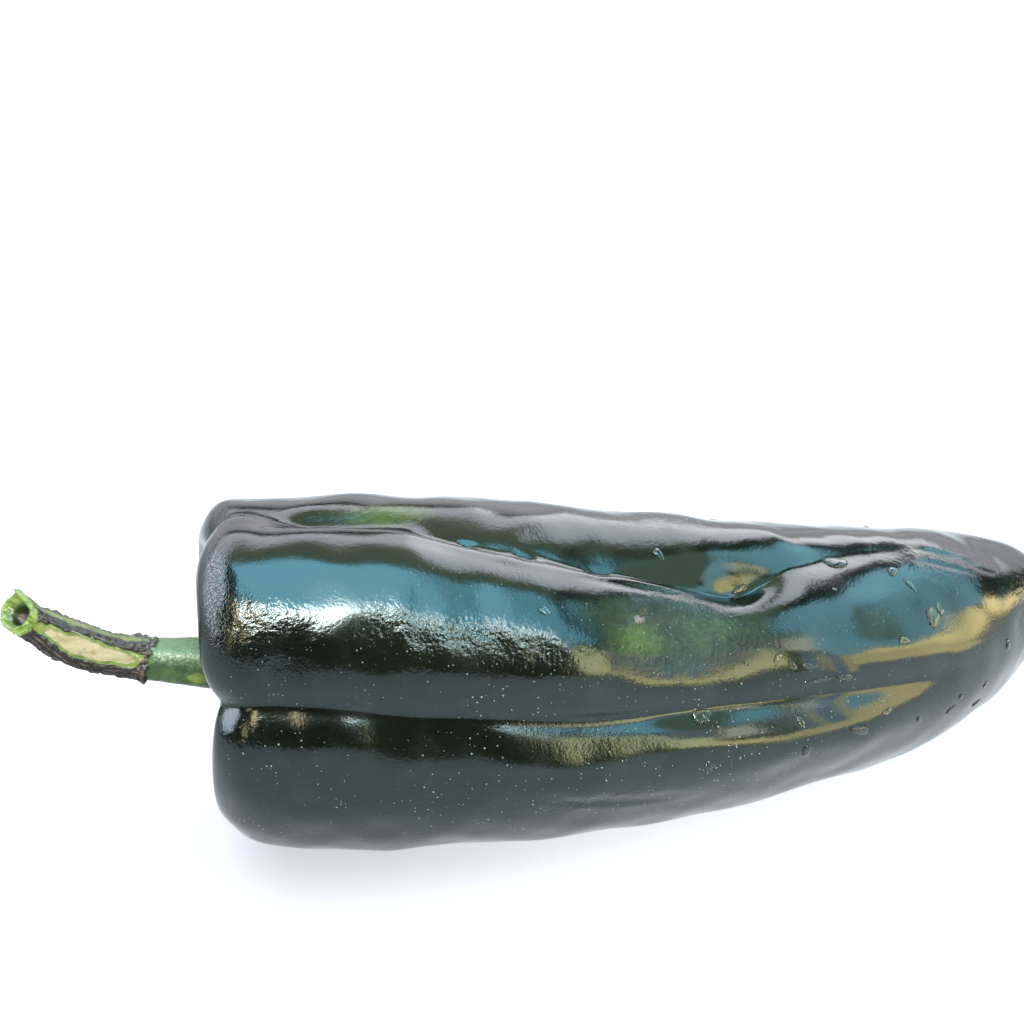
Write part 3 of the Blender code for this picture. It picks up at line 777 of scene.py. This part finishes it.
# The light: a wide soft ceiling and a low soft front light the floor and the stem, and soft glowing panes
# round the pepper are what its glossy skin mirrors. Each pane is a sheet curved round it. The small ones
# named near_ stand a few centimetres off, so that single lobes mirror them.
# Pane: name, edges, colour, radiance, distance in metres. Edges: side in degrees towards the tip, then the
# lowest and highest roll there, in degrees from the near side (0) over the top (90) to the far side (180).
AIM = np.array([0, 0, 0.03])
PANES = [
    ("veil_left", [(-80, 96, 152), (-40, 104, 152), (-28, 116, 152)], (0.88, 0.88, 1.0), 9.0, 1.6),
    ("veil", [(-28, 116, 152), (-20, 122, 152), (0, 130, 147), (12, 130, 147), (17, 131, 156)],
     (1.0, 0.96, 1.0), 4.6, 1.6),
    ("veil_right", [(17, 131, 156), (21, 110, 158), (30, 106, 158), (34, 112, 158), (38, 140, 156),
                    (60, 151, 156)],
     (1.0, 0.96, 1.0), 6.3, 1.6),
    ("olive_wall", [(-21, 113, 124), (0, 110, 129), (8, 104, 129), (16, 98, 130), (21, 90, 109),
                    (30, 84, 105)],
     (0.90, 1.0, 0.60), 1.1, 1.6),
    ("veil_far", [(-75, 152, 178), (60, 158, 178)], (1.0, 0.96, 1.0), 1.4, 1.6),
    ("sky_left", [(-21, 84, 112), (0, 62, 109), (8, 52, 103), (14.4, 46, 97)],
     (0.36, 0.80, 1.0), 9.0, 1.3),
    ("sky_middle", [(15.6, 45, 96), (22, 44, 88), (28, 44, 80)], (0.36, 0.82, 1.0), 6.2, 1.3),
    ("sky_right", [(33, 66, 88), (42, 60, 98), (46, 56, 140), (47, 12, 140), (55, 13, 140)],
     (0.42, 0.84, 1.0), 5.4, 1.3),
    ("grey_column", [(33, 24, 62), (36.5, 20, 60)], (0.70, 0.90, 1.0), 2.2, 1.3),
    ("gold_column", [(36.5, 20, 60), (41, 18, 58)], (1.0, 0.76, 0.36), 4.5, 1.3),
    ("hot_column", [(38.5, 26, 52), (46.5, 30, 60)], (1.0, 0.84, 0.64), 8.0, 1.27),
    ("sky_above", [(55, 98, 140), (62, 98, 138), (70, 60, 140), (78, 72, 150)],
     (0.42, 0.84, 1.0), 3.6, 1.3),
    ("shade", [(55, 72, 94), (57, 60, 98), (60, 62, 92), (62, 66, 98), (68, 60, 72)],
     (0.66, 0.95, 0.66), 2.0, 1.3),
    ("sky_below", [(55, 14, 62), (62, 34, 62), (70, 42, 60)], (0.42, 0.84, 1.0), 4.5, 1.3),
    ("gold", [(20, 2, 36), (31, 2, 38), (35, 2, 16), (56, 0, 12), (62, 0, 32), (70, 0, 40),
              (75, 0, 74), (79, 0, 104), (83, 0, 170), (88, 0, 178)],
     (1.0, 0.74, 0.32), 10.0, 1.28),
    ("pale_gold", [(18, 8, 38), (31, 4, 36)], (1.0, 0.84, 0.46), 9.5, 1.26),
    ("gold_end", [(71, 158, 196), (75, 146, 205), (81, 144, 205)], (1.0, 0.74, 0.34), 10.0, 1.35),
    ("gold_low", [(48, -14, 6), (60, -16, 8), (75, -30, 20), (84, -60, 40)],
     (1.0, 0.74, 0.36), 7.0, 0.16),
    ("sun_left", [(-27, 58, 66), (-22, 58, 80), (-12, 57, 76), (-8, 61, 70), (-4, 64, 67)],
     (1.0, 0.94, 0.84), 48.0, 1.25),
    ("sun_middle", [(1, 58, 66), (3, 52, 65), (7, 42, 56), (11, 38, 46)], (1.0, 0.94, 0.84), 34.0, 1.25),
    ("sun_right", [(11.5, 36, 47), (17, 38, 47)], (0.80, 0.95, 1.0), 12.0, 1.25),
    ("ember", [(-39, 38, 56), (-34, 46, 76), (-30, 56, 86), (-26, 76, 86)],
     (1.0, 0.66, 0.38), 16.0, 1.24),
    ("ember_low", [(-57, 22, 54), (-50, 20, 58)], (1.0, 0.72, 0.40), 8.0, 1.24),
    ("near_leaf", [(22, 38, 62), (27, 30, 78), (36, 29, 88), (45, 31, 88), (49, 44, 78)],
     (0.75, 1.0, 0.72), 1.5, 0.062),
    ("near_haze", [(24, 12, 29), (41, 16, 29)], (0.92, 0.93, 1.0), 2.2, 0.062),
    ("near_dark", [(50, -2, 26), (54, -4, 24)], (0.9, 1.0, 0.8), 0.6, 0.062),
    ("near_grey_1", [(54.3, -4, 24), (58, -8, 20)], (0.62, 0.80, 1.0), 2.4, 0.062),
    ("near_gold_1", [(58.3, -8, 19), (60, -10, 17)], (1.0, 0.78, 0.40), 4.5, 0.062),
    ("near_grey_2", [(60.3, -10, 17), (63.5, -14, 14)], (0.62, 0.80, 1.0), 2.6, 0.062),
    ("near_gold_2", [(63.8, -14, 14), (66, -15, 12)], (1.0, 0.78, 0.40), 5.5, 0.062),
]


def facing(side, roll):
    """The direction at these two angles in degrees."""
    s, r = np.radians(side), np.radians(roll)
    return np.stack([np.sin(s), -np.cos(r) * np.cos(s), np.sin(r) * np.cos(s)], axis=-1)


PANE_COLUMNS = 24
PANE_ROWS = 10
LOWEST_PANE = 0.003
for name, edges, colour, radiance, away in PANES:
    side, low, high = np.array(edges, float).T
    along_pane = np.linspace(side[0], side[-1], PANE_COLUMNS)[:, None]
    share = np.linspace(0, 1, PANE_ROWS)
    roll = np.interp(along_pane, side, low) * (1 - share) + np.interp(along_pane, side, high) * share
    points = AIM + away * facing(along_pane + 0 * share, roll)
    points[..., 2] = np.maximum(points[..., 2], LOWEST_PANE)
    spot = np.arange(PANE_COLUMNS * PANE_ROWS).reshape(PANE_COLUMNS, PANE_ROWS)
    quads = np.stack([spot[:-1, :-1], spot[1:, :-1], spot[1:, 1:], spot[:-1, 1:]], axis=-1).reshape(-1, 4)
    pane_mesh = bpy.data.meshes.new(name)
    pane_mesh.from_pydata(points.reshape(-1, 3).tolist(), [], quads.tolist())
    pane = bpy.data.objects.new(name, pane_mesh)
    bpy.context.scene.collection.objects.link(pane)
    glow = bpy.data.materials.new(name)
    glow.use_nodes = True
    glow.node_tree.nodes.remove(glow.node_tree.nodes["Principled BSDF"])
    lit = node(glow.node_tree, "Emission", {"Color": (*colour, 1), "Strength": radiance})
    glow.node_tree.links.new(lit.outputs[0], glow.node_tree.nodes["Material Output"].inputs["Surface"])
    pane_mesh.materials.append(glow)
    pane.visible_camera = False
    pane.visible_diffuse = False
    pane.visible_shadow = False


def softbox(name, place, aim, size, colour, radiance):
    """A rectangular soft light that lights matt things and isn't mirrored in glossy ones."""
    light = bpy.data.lights.new(name, "AREA")
    light.shape = "RECTANGLE"
    light.size, light.size_y = size
    light.color = colour
    light.energy = radiance * size[0] * size[1] * math.pi
    lamp = bpy.data.objects.new(name, light)
    lamp.location = place
    lamp.rotation_mode = "QUATERNION"
    lamp.rotation_quaternion = (Vector(place) - Vector(aim)).to_track_quat("Z", "Y")
    lamp.visible_glossy = False
    lamp.visible_camera = False
    bpy.context.scene.collection.objects.link(lamp)


softbox("ceiling", (0.2, 0.3, 1.6), (0.2, 0.3, 0), (3.4, 3.4), (0.88, 0.96, 1.0), 0.80)
softbox("low_front", (-0.2, -1.5, 0.30), (0, 0, 0.01), (2.6, 0.5), (0.95, 0.97, 1.0), 3.6)
room = bpy.data.worlds.new("room")
room.use_nodes = True
room.node_tree.nodes["Background"].inputs["Color"].default_value = (0.88, 0.96, 1.0, 1)
room.node_tree.nodes["Background"].inputs["Strength"].default_value = 0.55
room.cycles_visibility.glossy = False
bpy.context.scene.world = room
bpy.context.scene.view_settings.view_transform = "Standard"

# The camera: a long lens 0.47 m from the pepper, 30 degrees above the floor and 14 towards the stem end.
# It looks a little above and to the left of the pepper, which so lies low and to the right in the picture.
LIFT = math.radians(30)
YAW = math.radians(14)
AWAY = 0.470
AIM_HEIGHT = 0.020
SENSOR = 36
PICTURE_WIDE = 1024
FOCAL_PIXELS = 2800
PIXELS_LEFT = 54
PIXELS_UP = 196
back = Vector((-math.sin(YAW) * math.cos(LIFT), -math.cos(YAW) * math.cos(LIFT), math.sin(LIFT)))
right = Vector((0, 0, 1)).cross(back).normalized()
up = back.cross(right)
ahead = (-back - right * (PIXELS_LEFT / FOCAL_PIXELS) + up * (PIXELS_UP / FOCAL_PIXELS)).normalized()
right = (right - ahead * right.dot(ahead)).normalized()
up = right.cross(ahead)
lens = bpy.data.cameras.new("camera")
lens.sensor_width = SENSOR
lens.lens = SENSOR * FOCAL_PIXELS / PICTURE_WIDE
camera = bpy.data.objects.new("camera", lens)
camera.location = Vector((0, 0, AIM_HEIGHT)) + back * AWAY
camera.rotation_mode = "QUATERNION"
camera.rotation_quaternion = Matrix((right, up, -ahead)).transposed().to_quaternion()
bpy.context.scene.collection.objects.link(camera)
bpy.context.scene.camera = camera
